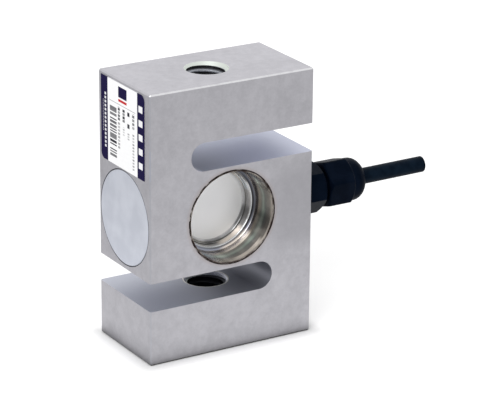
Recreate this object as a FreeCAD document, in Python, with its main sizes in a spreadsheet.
import FreeCAD, Part
import math
import os
import Sketcher

from FreeCAD import Placement, Rotation, Vector

# S-type load cell: a milled steel S with a gauged web at its middle, two drawn
# cups that seal the gauge pockets, a round cover over the trimming board, a
# rating label, and a nylon gland with the cut end of the signal cable.
# Millimetres. X runs to the gland, Y to the rear, Z up; the origin is the
# centre of the lower load thread, on the bottom face.

# Driving sizes are numbers. A size that follows from those above it is a formula.
SIZES = {
    # milled block
    "block_width": 50.5,
    "block_depth": 28.0,
    "block_height": 76.2,
    "pocket_radius": 13.45,       # gauge pockets, front and rear
    "pocket_wall": 1.05,          # steel left between a pocket and a slot
    "slot_gap": 8.0,
    "bar_thickness": "=block_height / 2 - pocket_radius - pocket_wall - slot_gap",
    "slot_reach": 12.7,           # round end of a slot, past the middle
    "edge_break": 0.4,
    "load_bore_radius": 5.1,      # M12 x 1.75, drilled for the tap
    "load_bore_chamfer": 1.0,
    "web_thickness": 2.8,
    "passage_radius": 1.65,       # for the wires, beside the web
    "passage_offset": 0.2,        # clear of the web's face
    "passage_bite": 1.0,
    "fit_clearance": 0.3,         # between loose pieces
    # gauges, terminals and coats on the web
    "gauge_width": 9.0,
    "gauge_height": 6.4,
    "gauge_thickness": 0.12,
    "grid_offset": 2.2,
    "grid_half": 1.8,
    "grid_thickness": 0.1,
    "terminal_offset": 6.6,
    "terminal_width": 2.0,
    "terminal_height": 3.2,
    "terminal_thickness": 0.3,
    "coat_thickness": 0.75,
    "coat_radius": 9.6,
    # drawn cups and the bead round them
    "bead_width": 0.3,
    "bead_depth": 0.6,
    "bead_sink": 0.05,
    "cup_sheet": 0.35,
    "cup_draft": 0.4,
    "cup_shelf_width": 2.45,
    "cup_well_radius": "=pocket_radius - cup_shelf_width",
    "cup_well_draft": 0.2,
    "cup_well_depth": 2.85,
    "cup_floor_depth": "=(block_depth - web_thickness) / 2 - coat_thickness - fit_clearance - cup_sheet",
    "cup_shelf_depth": "=cup_floor_depth - cup_well_depth",
    "cup_bend": 1.1,
    # cover and cavity in the left end
    "cover_margin": 0.55,         # steel round the cover, at the block's sides
    "cover_gap": 0.2,
    "cover_radius": "=block_depth / 2 - cover_margin - cover_gap",
    "cover_thickness": 1.2,
    "cover_edge": 0.15,
    "cover_ledge": 2.45,
    "cavity_radius": "=cover_radius + cover_gap - cover_ledge",
    "cavity_wall": 2.8,           # from the cavity to the pockets
    "cavity_depth": "=block_width / 2 - pocket_radius - cavity_wall",
    # rating label, on the left end above the cover
    "label_front_margin": 2.85,
    "label_rear_margin": 1.65,
    "label_top_margin": 1.0,
    "label_cover_gap": 0.45,
    "label_width": "=block_depth - label_front_margin - label_rear_margin",
    "label_height": "=block_height / 2 - label_top_margin - label_cover_gap - cover_radius",
    "label_thickness": 0.15,
    "label_corner": 1.7,
    # trimming board
    "pad_thickness": 1.0,
    "board_thickness": 1.0,
    "board_hole_radius": 1.9,
    "solder_pad_radius": 0.55,
    "solder_pad_height": 0.1,
    "resistor_radius": 0.8,
    "resistor_length": 3.6,
    "resistor_waist": 0.15,
    "resistor_cap": 0.7,
    "resistor_inner": 2.4,        # across, from the middle of the board
    "resistor_outer": 5.2,
    "resistor_rise": 4.9,         # up or down, from the middle of the board
    # wires
    "core_radius": 0.4,
    "core_pitch": 0.85,
    "core_wall_gap": 0.7,         # to the pocket's wall
    "core_ring_radius": "=pocket_radius - core_wall_gap - core_radius",
    "core_depth": 1.8,            # middle of the bundle, from the web
    "core_bend": 1.2,
    "core_sweep": 6.4,            # length of the double bend to the passage
    "core_foot_bend": 0.9,
    "core_foot": 4.6,
    "lead_radius": 0.15,
    "lead_pitch": 0.5,
    "lead_clearance": 0.05,
    "lead_foot": 1.3,
    # cable gland
    "gland_drop": 1.6,            # axis, below the middle of the block
    "gland_thread_radius": 5.0,
    "inlet_wall": 2.15,           # from the gland's bore to the pockets
    "gland_bore_depth": "=block_width / 2 - pocket_radius - inlet_wall",
    "gland_shank": 5.5,
    "gland_wire_bore": 2.5,
    "gasket_thickness": 2.0,
    "gasket_radius": 6.5,
    "body_flats": 12.9,
    "body_turn": 14.0,
    "body_hex_length": 8.1,
    "body_hex_chamfer": 0.5,
    "neck_radius": 4.7,
    "neck_length": 7.6,
    "seal_bore": 3.35,
    "seal_seat": 1.5,             # shoulder, back from the end of the neck
    "finger_length": 3.0,
    "finger_tip_radius": 3.7,
    "finger_gap": 0.7,
    "seal_length": 4.7,
    "nut_gap": 1.25,              # from the body's hexagon to the nut
    "nut_flats": 12.5,
    "nut_turn": 43.5,
    "nut_hex_length": 8.2,
    "nut_chamfer": 0.5,
    "nut_dome_step": 0.1,         # dome inside the flats
    "nut_dome_length": 5.0,
    "nut_dome_bend": 3.6,
    "nut_cone_gap": 0.9,          # past the neck, before the clamping cone
    "nut_cone": 3.3,
    "cable_radius": 2.3,
    "cable_clearance": 0.1,
}

# Route of the signal cable, from inside the gland to its cut end: chosen
# points, in the part's own frame.
CABLE_ROUTE = [
    (26.0, 0.0, 36.5),
    (49.2, 0.0, 36.5),
    (71.2, 0.0, 36.7),
]

doc = FreeCAD.newDocument("s_type_load_cell")
sheet = doc.addObject("Spreadsheet::Sheet", "Sizes")
for row, (alias, value) in enumerate(SIZES.items(), start=1):
    sheet.set(f"A{row}", alias)
    sheet.set(f"B{row}", str(value))
    sheet.setAlias(f"B{row}", alias)
doc.recompute()

UP_TO_REAR = Rotation(Vector(1, 0, 0), -90)     # local Z along +Y
UP_TO_FRONT = Rotation(Vector(1, 0, 0), 90)     # local Z along -Y
UP_TO_RIGHT = Rotation(Vector(0, 1, 0), 90)     # local Z along +X
GLAND_TURN = Rotation(Vector(0, 1, 0), Vector(0, 0, 1), Vector(1, 0, 0), "ZXY")     # local X along +Y
LEFTWARD = Vector(-1, 0, 0)
MIDDLE = "Sizes.block_height / 2"
LEFT_FACE = "-Sizes.block_width / 2"
GLAND_HEIGHT = "Sizes.block_height / 2 - Sizes.gland_drop"
PASSAGE_MIDDLE = "(Sizes.web_thickness / 2 + Sizes.passage_offset + Sizes.passage_radius)"
nodes = []


# ---------------------------------------------------------------- helpers
def measure(expression):
    """Value of a sheet expression, in millimetres."""
    value = sheet.evalExpression(expression)
    return float(getattr(value, "Value", value))


def size(alias):
    """Value of one size."""
    return measure(f"Sizes.{alias}")


def node(kind, name):
    """New sub-part of the given FreeCAD type, listed for export."""
    part = doc.addObject(kind, name)
    part.Label = name
    nodes.append(part)
    return part


def place(part, x, y, z, rotation=Rotation()):
    """Put a sub-part at sheet expressions x, y and z."""
    part.Placement = Placement(Vector(), rotation)
    for axis, expression in zip("xyz", (x, y, z)):
        part.setExpression(f"Placement.Base.{axis}", expression)


def sketch_on(body, role, name, offset=None):
    """Sketch on one of the body's own origin planes, moved along its normal."""
    sketch = body.newObject("Sketcher::SketchObject", f"{body.Name}_{name}")
    plane = next(f for f in body.Origin.OriginFeatures if f.Role == role)
    sketch.AttachmentSupport = (plane, [""])
    sketch.MapMode = "FlatFace"
    if offset:
        sketch.setExpression("AttachmentOffset.Base.z", offset)
    return sketch


def bind(sketch, kind, *arguments, expression):
    """Constraint whose datum is a sheet expression."""
    index = sketch.addConstraint(Sketcher.Constraint(kind, *arguments, measure(expression)))
    sketch.setExpression(f"Constraints[{index}]", expression)


def pin_point(sketch, geometry, point, across, up):
    """Tie one sketch point to two expressions, or to an axis where one is 0."""
    if across == "0":
        sketch.addConstraint(Sketcher.Constraint("PointOnObject", geometry, point, -2))
    else:
        bind(sketch, "DistanceX", -1, 1, geometry, point, expression=across)
    if up == "0":
        sketch.addConstraint(Sketcher.Constraint("PointOnObject", geometry, point, -1))
    else:
        bind(sketch, "DistanceY", -1, 1, geometry, point, expression=up)


def outline(sketch, corners):
    """Closed straight outline through corners given as pairs of expressions."""
    spots = [Vector(measure(across), measure(up), 0) for across, up in corners]
    first = sketch.GeometryCount
    count = len(corners)
    for index, spot in enumerate(spots):
        sketch.addGeometry(Part.LineSegment(spot, spots[(index + 1) % count]), False)
    for index in range(count):
        following = first + (index + 1) % count
        sketch.addConstraint(Sketcher.Constraint("Coincident", first + index, 2, following, 1))
    for index, (across, up) in enumerate(corners):
        pin_point(sketch, first + index, 1, across, up)
    return sketch


def box_outline(sketch, left, right, low, high):
    """Rectangle between four expressions."""
    return outline(sketch, [(left, low), (right, low), (right, high), (left, high)])


def ring_outline(sketch, across, up, radius):
    """Circle at a pair of expressions."""
    middle = Vector(measure(across), measure(up), 0)
    index = sketch.addGeometry(Part.Circle(middle, Vector(0, 0, 1), measure(radius)), False)
    pin_point(sketch, index, 3, across, up)
    bind(sketch, "Radius", index, expression=radius)
    return sketch


def hexagon_outline(sketch, flats, turn):
    """Hexagon round the sketch's origin, across flats, turned by an angle."""
    corner = f"{flats} / (2 * cos(30 deg))"
    angles = [f"({turn} + {60 * side}) * 1 deg" for side in range(6)]
    return outline(sketch, [(f"{corner} * cos({a})", f"{corner} * sin({a})") for a in angles])


def pad(sketch, length, middle=False, reverse=False):
    """Extrude a sketch, one way or both ways from its plane."""
    body = sketch.getParentGeoFeatureGroup()
    feature = body.newObject("PartDesign::Pad", f"{sketch.Name}_pad")
    feature.Profile = sketch
    feature.setExpression("Length", length)
    feature.Midplane = middle
    feature.Reversed = reverse
    sketch.Visibility = False
    return feature


def pocket(sketch, length=None, middle=False, reverse=False):
    """Cut a sketch out of its body, to a length or through everything."""
    body = sketch.getParentGeoFeatureGroup()
    feature = body.newObject("PartDesign::Pocket", f"{sketch.Name}_cut")
    feature.Profile = sketch
    if length:
        feature.setExpression("Length", length)
    else:
        feature.Type = "ThroughAll"
    feature.Midplane = middle
    feature.Reversed = reverse
    return feature


def turned(sketch, kind="PartDesign::Revolution"):
    """Turn a sketch about its own upright axis, as a solid or as a groove."""
    body = sketch.getParentGeoFeatureGroup()
    feature = body.newObject(kind, f"{sketch.Name}_turn")
    feature.Profile = sketch
    feature.ReferenceAxis = (sketch, ["V_Axis"])
    feature.Angle = 360
    return feature


def round_edges(body, radius, chooser, kind="PartDesign::Fillet", datum="Radius"):
    """Fillet or chamfer those edges of the body's tip that the chooser picks."""
    doc.recompute()
    base = body.Tip
    names = [f"Edge{i}" for i, edge in enumerate(base.Shape.Edges, start=1) if chooser(edge)]
    feature = body.newObject(kind, f"{base.Name}_edge")
    feature.Base = (base, names)
    feature.setExpression(datum, radius)
    return feature


def circle_at(radius, height):
    """Chooser of round edges of one radius at one height on the turning axis."""
    wanted = (measure(radius), measure(height))

    def choose(edge):
        if not isinstance(edge.Curve, Part.Circle):
            return False
        found = (edge.Curve.Radius, edge.Curve.Center.z)
        return all(abs(a - b) < 1e-4 for a, b in zip(found, wanted))
    return choose


def any_edge(edge):
    """Chooser of every edge."""
    return True


# ---------------------------------------------------------------- block
def make_block():
    """The S: a bar stock block with two slots, four bores and three pockets."""
    body = node("PartDesign::Body", "s_block")
    half_width = "Sizes.block_width / 2"

    stock = sketch_on(body, "XZ_Plane", "stock")
    box_outline(stock, LEFT_FACE, half_width, "0", "Sizes.block_height")
    pad(stock, "Sizes.block_depth", middle=True)
    round_edges(body, "Sizes.edge_break", any_edge, "PartDesign::Chamfer", "Size")

    # each slot: a drilled end, then a cut out to the open side
    low_slot = "(Sizes.bar_thickness + Sizes.slot_gap / 2)"
    high_slot = f"(Sizes.block_height - {low_slot})"
    end_middle = "(Sizes.slot_reach - Sizes.slot_gap / 2)"
    ends = sketch_on(body, "XZ_Plane", "slot_ends")
    ring_outline(ends, end_middle, low_slot, "Sizes.slot_gap / 2")
    ring_outline(ends, f"-{end_middle}", high_slot, "Sizes.slot_gap / 2")
    pocket(ends, middle=True)
    cuts = sketch_on(body, "XZ_Plane", "slots")
    half_gap = "Sizes.slot_gap / 2"
    box_outline(cuts, f"{LEFT_FACE} - {half_gap}", end_middle,
                f"{low_slot} - {half_gap}", f"{low_slot} + {half_gap}")
    box_outline(cuts, f"-{end_middle}", f"{half_width} + {half_gap}",
                f"{high_slot} - {half_gap}", f"{high_slot} + {half_gap}")
    pocket(cuts, middle=True)

    # load threads: one through each bar, chamfered at both mouths
    mouth = "Sizes.load_bore_radius + Sizes.load_bore_chamfer"
    far_bar = "Sizes.block_height - Sizes.bar_thickness"
    for name, low, high in (("lower_bore", "0", "Sizes.bar_thickness"),
                            ("upper_bore", far_bar, "Sizes.block_height")):
        bore = sketch_on(body, "XZ_Plane", name)
        outline(bore, [("0", low), (mouth, low),
                       ("Sizes.load_bore_radius", f"{low} + Sizes.load_bore_chamfer"),
                       ("Sizes.load_bore_radius", f"{high} - Sizes.load_bore_chamfer"),
                       (mouth, high), ("0", high)])
        turned(bore, "PartDesign::Groove")

    # gauge pockets, front and rear of the web
    front = sketch_on(body, "XZ_Plane", "front_pocket", "Sizes.web_thickness / 2")
    ring_outline(front, "0", MIDDLE, "Sizes.pocket_radius")
    pocket(front, reverse=True)
    rear = sketch_on(body, "XZ_Plane", "rear_pocket", "-Sizes.web_thickness / 2")
    ring_outline(rear, "0", MIDDLE, "Sizes.pocket_radius")
    pocket(rear)

    # left end: seat of the cover, cavity of the board, two wire passages
    seat = sketch_on(body, "YZ_Plane", "seat", f"{LEFT_FACE} + Sizes.cover_thickness")
    ring_outline(seat, "0", MIDDLE, "Sizes.cover_radius + Sizes.cover_gap")
    pocket(seat)
    floor = f"{LEFT_FACE} + Sizes.cavity_depth"
    cavity = sketch_on(body, "YZ_Plane", "cavity", floor)
    ring_outline(cavity, "0", MIDDLE, "Sizes.cavity_radius")
    pocket(cavity)
    passages = sketch_on(body, "YZ_Plane", "passages", floor)
    ring_outline(passages, f"-{PASSAGE_MIDDLE}", MIDDLE, "Sizes.passage_radius")
    ring_outline(passages, PASSAGE_MIDDLE, MIDDLE, "Sizes.passage_radius")
    left_wall = "Sizes.block_width / 2 - Sizes.cavity_depth - Sizes.pocket_radius"
    pocket(passages, f"{left_wall} + Sizes.passage_bite", reverse=True)

    # right end: tapped bore of the gland, and the passage to the front pocket
    bottom = "Sizes.block_width / 2 - Sizes.gland_bore_depth"
    tapped = sketch_on(body, "YZ_Plane", "gland_bore", bottom)
    ring_outline(tapped, "0", GLAND_HEIGHT, "Sizes.gland_thread_radius")
    pocket(tapped, reverse=True)
    inlet = sketch_on(body, "YZ_Plane", "inlet", bottom)
    ring_outline(inlet, f"-{PASSAGE_MIDDLE}", GLAND_HEIGHT, "Sizes.passage_radius")
    pocket(inlet, f"{bottom} - Sizes.pocket_radius + Sizes.passage_bite")


# ---------------------------------------------------------------- cups
def make_cup(side, face, rotation):
    """Drawn cup: a rim at the face, a shelf, and a well with a flat floor."""
    rim = "(Sizes.pocket_radius - Sizes.bead_width)"
    wall = f"({rim} - Sizes.cup_draft)"
    well = "(Sizes.cup_well_radius - Sizes.cup_well_draft)"
    sheet_gauge = "Sizes.cup_sheet"
    body = node("PartDesign::Body", f"{side}_cup")
    section = sketch_on(body, "XZ_Plane", "section")
    outline(section, [
        (f"{rim} - {sheet_gauge}", "0"),
        (rim, "0"),
        (wall, f"Sizes.cup_shelf_depth + {sheet_gauge}"),
        (f"Sizes.cup_well_radius + {sheet_gauge}", f"Sizes.cup_shelf_depth + {sheet_gauge}"),
        (f"{well} + {sheet_gauge}", f"Sizes.cup_floor_depth + {sheet_gauge}"),
        ("0", f"Sizes.cup_floor_depth + {sheet_gauge}"),
        ("0", "Sizes.cup_floor_depth"),
        (well, "Sizes.cup_floor_depth"),
        ("Sizes.cup_well_radius", "Sizes.cup_shelf_depth"),
        (f"{wall} - {sheet_gauge}", "Sizes.cup_shelf_depth"),
    ])
    turned(section)
    round_edges(body, "Sizes.cup_bend", circle_at(well, "Sizes.cup_floor_depth"))
    under_floor = circle_at(f"{well} + {sheet_gauge}", f"Sizes.cup_floor_depth + {sheet_gauge}")
    round_edges(body, f"Sizes.cup_bend + {sheet_gauge}", under_floor)
    inner_shelf = circle_at(f"{wall} - {sheet_gauge}", "Sizes.cup_shelf_depth")
    round_edges(body, f"Sizes.cup_bend - {sheet_gauge}", inner_shelf)
    place(body, "0", face, MIDDLE, rotation)

    bead = node("PartDesign::Body", f"{side}_bead")
    ring = sketch_on(bead, "XZ_Plane", "ring")
    box_outline(ring, rim, "Sizes.pocket_radius",
                "Sizes.bead_sink", "Sizes.bead_sink + Sizes.bead_depth")
    turned(ring)
    place(bead, "0", face, MIDDLE, rotation)


# ---------------------------------------------------------------- cover and label
def make_cover():
    """Round cover, bonded on its seat over the cavity of the board."""
    body = node("PartDesign::Body", "end_cover")
    disc = sketch_on(body, "XY_Plane", "disc")
    ring_outline(disc, "0", "0", "Sizes.cover_radius")
    pad(disc, "Sizes.cover_thickness")
    rim = circle_at("Sizes.cover_radius", "0")
    round_edges(body, "Sizes.cover_edge", rim, "PartDesign::Chamfer", "Size")
    place(body, LEFT_FACE, "0", MIDDLE, UP_TO_RIGHT)


def make_label():
    """Printed label: rounded at its lower rear and upper front corners."""
    body = node("PartDesign::Body", "rating_label")
    sheet_outline = sketch_on(body, "YZ_Plane", "outline")
    rear = "Sizes.block_depth / 2 - Sizes.label_rear_margin"
    top = "Sizes.block_height - Sizes.label_top_margin"
    front = f"{rear} - Sizes.label_width"
    box_outline(sheet_outline, front, rear, f"{top} - Sizes.label_height", top)
    pad(sheet_outline, "Sizes.label_thickness", reverse=True)
    corners = ((measure(front), measure(top)),
               (measure(rear), measure(f"{top} - Sizes.label_height")))

    def rounded(edge):
        ends = [(v.Point.y, v.Point.z) for v in edge.Vertexes]
        return any(all(math.dist(end, corner) < 1e-4 for end in ends) for corner in corners)
    round_edges(body, "Sizes.label_corner", rounded)
    place(body, LEFT_FACE, "0", "0")


# ---------------------------------------------------------------- board
BOARD_BACK = f"{LEFT_FACE} + Sizes.cavity_depth - Sizes.pad_thickness"
BOARD_FACE = f"({BOARD_BACK} - Sizes.board_thickness)"
CORE_SIDE = "(Sizes.web_thickness / 2 + Sizes.core_depth)"
LEAD_LIFT = ("(Sizes.web_thickness / 2 + Sizes.terminal_thickness"
             " + Sizes.lead_clearance + Sizes.lead_radius)")


def make_board():
    """Round board on a foam pad, with holes for the wires and solder pads."""
    for name, start, thickness, clearance in (
            ("board_pad", BOARD_BACK, "Sizes.pad_thickness", "Sizes.fit_clearance"),
            ("trim_board", BOARD_FACE, "Sizes.board_thickness", "2 * Sizes.fit_clearance")):
        body = node("PartDesign::Body", name)
        disc = sketch_on(body, "YZ_Plane", "disc")
        ring_outline(disc, "0", "0", f"Sizes.cavity_radius - {clearance}")
        pad(disc, thickness)
        holes = sketch_on(body, "YZ_Plane", "holes")
        ring_outline(holes, f"-{PASSAGE_MIDDLE}", "0", "Sizes.board_hole_radius")
        ring_outline(holes, PASSAGE_MIDDLE, "0", "Sizes.board_hole_radius")
        pocket(holes, middle=True)
        place(body, start, "0", MIDDLE)

    # solder pads in one ring, on the board's outer face, clear of the wires
    board = doc.getObject("trim_board")
    spot = sketch_on(board, "YZ_Plane", "solder_pad")
    ring_outline(spot, "Sizes.cavity_radius - 3 * Sizes.solder_pad_radius - Sizes.fit_clearance",
                 "0", "Sizes.solder_pad_radius")
    raised = pad(spot, "Sizes.solder_pad_height", reverse=True)
    ring = board.newObject("PartDesign::PolarPattern", "trim_board_pads")
    ring.Originals = [raised]
    ring.Axis = (next(f for f in board.Origin.OriginFeatures if f.Role == "X_Axis"), [""])
    ring.Angle = 360
    ring.Occurrences = 12
    board.Tip = ring


def make_resistors():
    """Four trimming resistors, waisted between their end caps, on the board."""
    for name, side, rise in (("zero_trim_resistor", "Sizes.resistor_inner", ""),
                             ("span_trim_resistor", "Sizes.resistor_inner", "-"),
                             ("zero_drift_resistor", "Sizes.resistor_outer", ""),
                             ("span_drift_resistor", "Sizes.resistor_outer", "-")):
        body = node("PartDesign::Body", name)
        section = sketch_on(body, "XZ_Plane", "section")
        end = "Sizes.resistor_length / 2"
        cap = f"{end} - Sizes.resistor_cap"
        waist = "Sizes.resistor_radius - Sizes.resistor_waist"
        outline(section, [("0", f"-{end}"), ("Sizes.resistor_radius", f"-{end}"),
                          ("Sizes.resistor_radius", f"-({cap})"), (waist, f"-({cap})"),
                          (waist, cap), ("Sizes.resistor_radius", cap),
                          ("Sizes.resistor_radius", end), ("0", end)])
        turned(section)
        place(body, f"{BOARD_FACE} - Sizes.resistor_radius", side,
              f"{MIDDLE} + {rise}Sizes.resistor_rise")


# ---------------------------------------------------------------- gauges
def make_gauge(side, rotation, web_face, hand):
    """Shear gauge, solder terminal and silicone coat on one face of the web."""
    gauge = node("PartDesign::Body", f"{side}_gauge")
    foil = sketch_on(gauge, "XY_Plane", "foil")
    box_outline(foil, "-Sizes.gauge_width / 2", "Sizes.gauge_width / 2",
                "-Sizes.gauge_height / 2", "Sizes.gauge_height / 2")
    pad(foil, "Sizes.gauge_thickness")
    grids = sketch_on(gauge, "XY_Plane", "grids")
    for sign in ("", "-"):
        middle = f"{sign}Sizes.grid_offset"
        outline(grids, [(middle, "-Sizes.grid_half"), (f"{middle} + Sizes.grid_half", "0"),
                        (middle, "Sizes.grid_half"), (f"{middle} - Sizes.grid_half", "0")])
    pad(grids, "Sizes.gauge_thickness + Sizes.grid_thickness")
    place(gauge, "0", web_face, MIDDLE, rotation)

    terminal = node("Part::Box", f"{side}_terminal")
    terminal.setExpression("Length", "Sizes.terminal_width")
    terminal.setExpression("Width", "Sizes.terminal_height")
    terminal.setExpression("Height", "Sizes.terminal_thickness")
    low = "Sizes.terminal_height / 2"
    place(terminal, "-Sizes.terminal_offset - Sizes.terminal_width / 2", web_face,
          f"{MIDDLE} {hand} {low}", rotation)


# ---------------------------------------------------------------- wires
def swept(name, edges, radius):
    """Round wire along its edges, mitred where two of them meet at a corner."""
    mitred = 1
    path = Part.Wire(edges)
    start = edges[0].valueAt(edges[0].FirstParameter)
    heading = edges[0].tangentAt(edges[0].FirstParameter)
    section = Part.Wire(Part.makeCircle(radius, start, heading))
    wire = node("Part::Feature", name)
    wire.Shape = path.makePipeShell([section], True, True, mitred)
    expected = math.pi * radius ** 2 * path.Length
    if abs(wire.Shape.Volume / expected - 1) > 0.01:
        raise ValueError(f"{name}: swept volume {wire.Shape.Volume:.3f}, expected {expected:.3f}")
    return wire


def arc_from(start, heading, end):
    """Arc that leaves its start along a heading and stops at its end."""
    chord = end - start
    along = chord / chord.Length
    bulge = (heading - along * heading.dot(along)).normalize()
    sagitta = chord.Length / 2 * math.tan(heading.getAngle(chord) / 2)
    return Part.Arc(start, (start + end) / 2 + bulge * sagitta, end).toShape()


def bent_path(points, bends):
    """Edges through points, each inner corner rounded by its own radius."""
    points = [Vector(*point) for point in points]
    edges = []
    start = points[0]
    for before, corner, after, radius in zip(points, points[1:], points[2:], bends):
        arriving = (corner - before).normalize()
        leaving = (after - corner).normalize()
        half_turn = arriving.getAngle(leaving) / 2
        trim = radius * math.tan(half_turn)
        arc_start = corner - arriving * trim
        arc_end = corner + leaving * trim
        inward = (leaving - arriving).normalize()
        crown = corner + inward * (radius / math.cos(half_turn) - radius)
        edges.append(Part.LineSegment(start, arc_start).toShape())
        edges.append(Part.Arc(arc_start, crown, arc_end).toShape())
        start = arc_end
    edges.append(Part.LineSegment(start, points[-1]).toShape())
    return edges


def make_cable():
    """Jacketed signal cable, from inside the gland to its cut end."""
    runs = [math.dist(a, b) for a, b in zip(CABLE_ROUTE, CABLE_ROUTE[1:])]
    bends = []
    for index in range(1, len(CABLE_ROUTE) - 1):
        before, corner, after = (Vector(*CABLE_ROUTE[index + step]) for step in (-1, 0, 1))
        turn = (corner - before).getAngle(after - corner)
        bends.append(0.45 * min(runs[index - 1], runs[index]) / math.tan(turn / 2))
    print("cable radii", [round(radius, 1) for radius in bends], "length", round(sum(runs), 1))
    swept("signal_cable", bent_path(CABLE_ROUTE, bends), size("cable_radius"))


def make_cores():
    """Four cores: from the cable, half round the front pocket, to the board."""
    middle = measure(MIDDLE)
    ring = size("core_ring_radius")
    bend = size("core_bend")
    half_pitch = size("core_pitch") / 2
    bottom = measure("Sizes.block_width / 2 - Sizes.gland_bore_depth")
    sweep = size("core_sweep")
    foot_bend = size("core_foot_bend")
    surface = measure(BOARD_FACE) - size("core_radius")
    for name, rising, inner in (("core_red", 1, 1), ("core_black", 1, -1),
                                ("core_green", -1, 1), ("core_white", -1, -1)):
        cable_y = inner * half_pitch
        ring_y = inner * half_pitch - measure(CORE_SIDE)
        inlet_z = measure(GLAND_HEIGHT) + rising * half_pitch
        outlet_z = middle + rising * half_pitch

        # double bend from the cable's axis to the passage, later in the core
        # on its inside, so that the pair stays one pitch apart
        lag = inner * half_pitch * (cable_y - ring_y) / sweep
        cable_end = Vector(CABLE_ROUTE[0][0], cable_y, inlet_z)
        bend_start = Vector(bottom + sweep - lag, cable_y, inlet_z)
        bend_end = Vector(bottom - lag, ring_y, inlet_z)
        half_way = (bend_start + bend_end) / 2

        # ring round the pocket, met by an outward bend at each side
        def side_bend(run_z, side):
            rise = run_z + rising * bend - middle
            bend_x = side * math.sqrt((ring + bend) ** 2 - rise ** 2)
            outward = Vector(bend_x, 0, rise).normalize()
            return Vector(bend_x, ring_y, run_z), Vector(0, ring_y, middle) + outward * ring

        right_run, right_touch = side_bend(inlet_z, 1)
        left_run, left_touch = side_bend(outlet_z, -1)
        crest = Vector(0, ring_y, middle + rising * ring)
        corner = Vector(surface, ring_y, outlet_z)
        foot = corner + Vector(0, 0, rising * size("core_foot"))
        edges = [
            Part.LineSegment(cable_end, bend_start).toShape(),
            arc_from(bend_start, LEFTWARD, half_way),
            arc_from(bend_end, -LEFTWARD, half_way),
            Part.LineSegment(bend_end, right_run).toShape(),
            arc_from(right_run, LEFTWARD, right_touch),
            Part.Arc(right_touch, crest, left_touch).toShape(),
            arc_from(left_run, -LEFTWARD, left_touch),
        ] + bent_path([left_run, corner, foot], [foot_bend])
        swept(name, edges, size("core_radius"))


def make_leads(side, sign):
    """Three leads from a terminal, through the left passage, to the board."""
    lift = sign * measure(LEAD_LIFT)
    surface = measure(BOARD_FACE) - size("lead_radius")
    start = -size("terminal_offset")
    for index in range(3):
        height = measure(MIDDLE) + (index - 1) * size("lead_pitch")
        bent_over = [Vector(start, lift, height), Vector(surface, lift, height),
                     Vector(surface, lift - sign * size("lead_foot"), height)]
        swept(f"{side}_lead_{index + 1}", Part.makePolygon(bent_over).Edges, size("lead_radius"))


def make_coat(side, web_face, rotation):
    """Silicone coat over a gauge, moulded round what it covers."""
    blank = doc.addObject("Part::Cylinder", f"{side}_coat_blank")
    blank.setExpression("Radius", "Sizes.coat_radius")
    blank.setExpression("Height", "Sizes.coat_thickness")
    place(blank, "0", web_face, MIDDLE, rotation)
    covered = doc.addObject("Part::Compound", f"{side}_coat_covered")
    names = ["gauge", "terminal"] + [f"lead_{index + 1}" for index in range(3)]
    covered.Links = [doc.getObject(f"{side}_{name}") for name in names]
    coat = node("Part::Cut", f"{side}_coat")
    coat.Base = blank
    coat.Tool = covered


# ---------------------------------------------------------------- gland
GLAND_FACE = "Sizes.block_width / 2"
HEX_START = "Sizes.gasket_thickness"
HEX_END = f"({HEX_START} + Sizes.body_hex_length)"
NECK_END = f"({HEX_END} + Sizes.neck_length)"
SEAL_START = f"({NECK_END} - Sizes.seal_seat)"


def hexagon_corners(body, flats, low, high, chamfer):
    """Cone that takes the corners off a hexagon at both of its ends."""
    corner = f"({flats} / (2 * cos(30 deg)))"
    ends = sketch_on(body, "XZ_Plane", "corners")
    inner = f"({flats} / 2 - {chamfer} / 2)"
    outer = f"({corner} + Sizes.fit_clearance)"
    drop = f"({outer} - {inner}) * tan(30 deg)"
    outline(ends, [(inner, low), (outer, low), (outer, f"{low} + {drop}")])
    outline(ends, [(inner, high), (outer, f"{high} - {drop}"), (outer, high)])
    turned(ends, "PartDesign::Groove")


def make_gland_body():
    """Nylon body: tapped shank, hexagon, neck and six clamping fingers."""
    body = node("PartDesign::Body", "gland_body")
    flange = sketch_on(body, "XY_Plane", "hexagon", HEX_START)
    hexagon_outline(flange, "Sizes.body_flats", "Sizes.body_turn")
    pad(flange, "Sizes.body_hex_length")
    hexagon_corners(body, "Sizes.body_flats", HEX_START, HEX_END, "Sizes.body_hex_chamfer")
    stem = sketch_on(body, "XZ_Plane", "stem")
    tip = f"{NECK_END} + Sizes.finger_length"
    outline(stem, [("0", "-Sizes.gland_shank"), ("Sizes.gland_thread_radius", "-Sizes.gland_shank"),
                   ("Sizes.gland_thread_radius", HEX_START), ("Sizes.neck_radius", HEX_END),
                   ("Sizes.neck_radius", NECK_END), ("Sizes.finger_tip_radius", tip), ("0", tip)])
    turned(stem)
    bore = sketch_on(body, "XZ_Plane", "bore")
    outline(bore, [("0", "-Sizes.gland_shank"), ("Sizes.gland_wire_bore", "-Sizes.gland_shank"),
                   ("Sizes.gland_wire_bore", SEAL_START), ("Sizes.seal_bore", SEAL_START),
                   ("Sizes.seal_bore", tip), ("0", tip)])
    turned(bore, "PartDesign::Groove")
    gap = sketch_on(body, "XY_Plane", "finger_gap", NECK_END)
    half_gap = "Sizes.finger_gap / 2"
    box_outline(gap, "Sizes.seal_bore / 2", "Sizes.neck_radius + Sizes.fit_clearance",
                f"-{half_gap}", half_gap)
    cut = pocket(gap, "Sizes.finger_length", reverse=True)
    fingers = body.newObject("PartDesign::PolarPattern", "gland_body_fingers")
    fingers.Originals = [cut]
    fingers.Axis = (next(f for f in body.Origin.OriginFeatures if f.Role == "Z_Axis"), [""])
    fingers.Angle = 360
    fingers.Occurrences = 6
    body.Tip = fingers
    place(body, GLAND_FACE, "0", GLAND_HEIGHT, GLAND_TURN)


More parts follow.
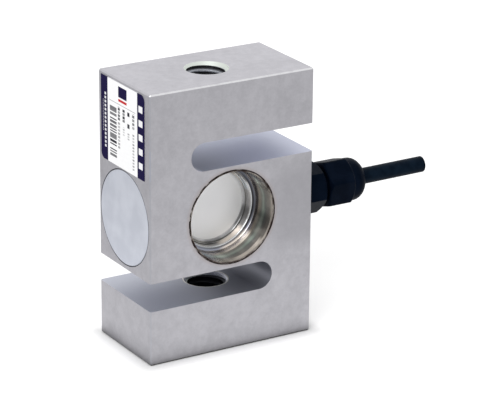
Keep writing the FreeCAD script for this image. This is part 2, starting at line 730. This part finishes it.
def make_gland_rings():
    """Flat gasket under the hexagon, and the rubber sleeve in the fingers."""
    gasket = node("PartDesign::Body", "gland_gasket")
    washer = sketch_on(gasket, "XZ_Plane", "washer")
    box_outline(washer, "Sizes.gland_thread_radius", "Sizes.gasket_radius",
                "0", "Sizes.gasket_thickness")
    turned(washer)
    place(gasket, GLAND_FACE, "0", GLAND_HEIGHT, GLAND_TURN)

    seal = node("PartDesign::Body", "gland_seal")
    sleeve = sketch_on(seal, "XZ_Plane", "sleeve")
    box_outline(sleeve, "Sizes.cable_radius", "Sizes.seal_bore",
                SEAL_START, f"{SEAL_START} + Sizes.seal_length")
    turned(sleeve)
    place(seal, GLAND_FACE, "0", GLAND_HEIGHT, GLAND_TURN)


def make_gland_nut():
    """Dome nut: a hexagon with cut corners, a round nose and a clamping cone."""
    body = node("PartDesign::Body", "gland_nut")
    start = f"({HEX_END} + Sizes.nut_gap)"
    hex_end = f"({start} + Sizes.nut_hex_length)"
    nose = f"({hex_end} + Sizes.nut_dome_length)"
    hexagon = sketch_on(body, "XY_Plane", "hexagon", start)
    hexagon_outline(hexagon, "Sizes.nut_flats", "Sizes.nut_turn")
    pad(hexagon, "Sizes.nut_hex_length")
    hexagon_corners(body, "Sizes.nut_flats", start, hex_end, "Sizes.nut_chamfer")
    dome = sketch_on(body, "XZ_Plane", "dome")
    dome_radius = "(Sizes.nut_flats / 2 - Sizes.nut_dome_step)"
    box_outline(dome, "0", dome_radius, f"{hex_end} - Sizes.nut_chamfer", nose)
    turned(dome)
    round_edges(body, "Sizes.nut_dome_bend", circle_at(dome_radius, nose))
    bore = sketch_on(body, "XZ_Plane", "bore")
    opening = "Sizes.cable_radius + Sizes.cable_clearance"
    cone_start = f"{NECK_END} + Sizes.nut_cone_gap"
    cone_end = f"({cone_start} + Sizes.nut_cone)"
    outline(bore, [("0", start), ("Sizes.neck_radius", start), ("Sizes.neck_radius", cone_start),
                   ("Sizes.seal_bore", cone_end), (opening, cone_end), (opening, nose), ("0", nose)])
    turned(bore, "PartDesign::Groove")
    place(body, GLAND_FACE, "0", GLAND_HEIGHT, GLAND_TURN)


make_block()
make_cup("front", "-Sizes.block_depth / 2", UP_TO_REAR)
make_cup("rear", "Sizes.block_depth / 2", UP_TO_FRONT)
make_cover()
make_label()
make_board()
make_resistors()
make_gauge("front", UP_TO_FRONT, "-Sizes.web_thickness / 2", "-")
make_gauge("rear", UP_TO_REAR, "Sizes.web_thickness / 2", "+")
make_gland_body()
make_gland_rings()
make_gland_nut()
make_cable()
make_cores()
make_leads("front", -1)
make_leads("rear", 1)
make_coat("front", "-Sizes.web_thickness / 2", UP_TO_FRONT)
make_coat("rear", "Sizes.web_thickness / 2", UP_TO_REAR)
doc.recompute()

for item in doc.Objects:
    if "Invalid" in item.State or "Error" in item.State:
        raise ValueError(f"{item.Name} did not build: {item.State}")
for part in nodes:
    if part.Shape.isNull() or not part.Shape.isValid() or len(part.Shape.Solids) != 1:
        raise ValueError(f"{part.Label} has no single valid solid")

os.makedirs("parts", exist_ok=True)
for part in nodes:
    part.Shape.exportStep(f"parts/{part.Label}.step")
print(len(nodes), "nodes written")
